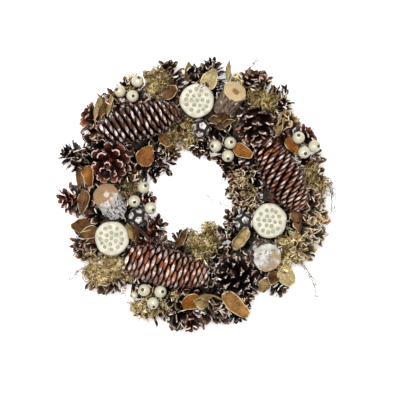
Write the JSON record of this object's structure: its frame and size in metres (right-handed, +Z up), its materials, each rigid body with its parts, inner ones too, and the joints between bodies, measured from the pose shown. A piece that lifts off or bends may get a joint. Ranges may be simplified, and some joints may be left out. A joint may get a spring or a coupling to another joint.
{
  "type": "pinecone wreath",
  "caption": "Round wreath of open and long pine cones, lotus pods, sawn logs, berries and dried leaves on a ring, laid flat.",
  "frame": {"origin": "on the surface the wreath lies on, under the middle of its box", "axes": "+Z up, from the wreath's flat back to its front; +X to the right and +Y to the top of the wreath as it is looked down on"},
  "size_m": [0.3511, 0.3566, 0.0977],
  "materials": {
    "straw": "rough bound straw, matte",
    "open_cone": "dry dark brown cone scales with pale frosted rims",
    "long_cone": "dry red-brown overlapping scales with white frosted edges",
    "lotus_pod": "dry cream seed pod, chalky",
    "log": "sawn wood and rough bark, brushed with white",
    "cypress_cone": "grey-brown woody plates",
    "berry": "ivory, soft sheen",
    "leaf": "dried leaf, ochre to brown, dull"
  },
  "bodies": {
    "root": {"ring_base": "straw", "rim_cone_01": "open_cone", "rim_cone_02": "open_cone", "rim_cone_03": "open_cone", "rim_cone_04": "open_cone", "rim_cone_05": "open_cone", "rim_cone_06": "open_cone", "rim_cone_07": "open_cone", "rim_cone_08": "open_cone", "rim_cone_09": "open_cone", "rim_cone_10": "open_cone", "rim_cone_11": "open_cone", "rim_cone_12": "open_cone", "rim_cone_13": "open_cone", "rim_cone_14": "open_cone", "rim_cone_15": "open_cone", "rim_cone_16": "open_cone", "rim_cone_17": "open_cone", "inner_cone_01": "open_cone", "inner_cone_02": "open_cone", "inner_cone_03": "open_cone", "inner_cone_04": "open_cone", "inner_cone_05": "open_cone", "inner_cone_06": "open_cone", "inner_cone_07": "open_cone", "inner_cone_08": "open_cone", "inner_cone_09": "open_cone", "inner_cone_10": "open_cone", "top_cone_1": "open_cone", "top_cone_2": "open_cone", "top_cone_3": "open_cone", "long_cone_1": "long_cone", "long_cone_2": "long_cone", "long_cone_3": "long_cone", "lotus_pod_1": "lotus_pod", "lotus_pod_2": "lotus_pod", "lotus_pod_3": "lotus_pod", "log_1": "log", "log_2": "log", "log_3": "log", "cypress_cone_1": "cypress_cone", "cypress_cone_2": "cypress_cone", "cypress_cone_3": "cypress_cone", "berry_sprig_1": "berry", "berry_sprig_2": "berry", "berry_sprig_3": "berry", "berry_sprig_4": "berry", "berry_sprig_5": "berry", "leaves_northwest_inner": "leaf", "leaves_northwest_rim": "leaf", "leaves_west": "leaf", "leaves_southwest": "leaf", "leaves_southwest_inner": "leaf", "leaves_south": "leaf", "leaves_southeast_inner": "leaf", "leaves_southeast": "leaf", "leaf_east": "leaf", "leaves_northeast": "leaf", "leaves_north": "leaf", "leaves_north_inner": "leaf"}
  },
  "joints": []
}
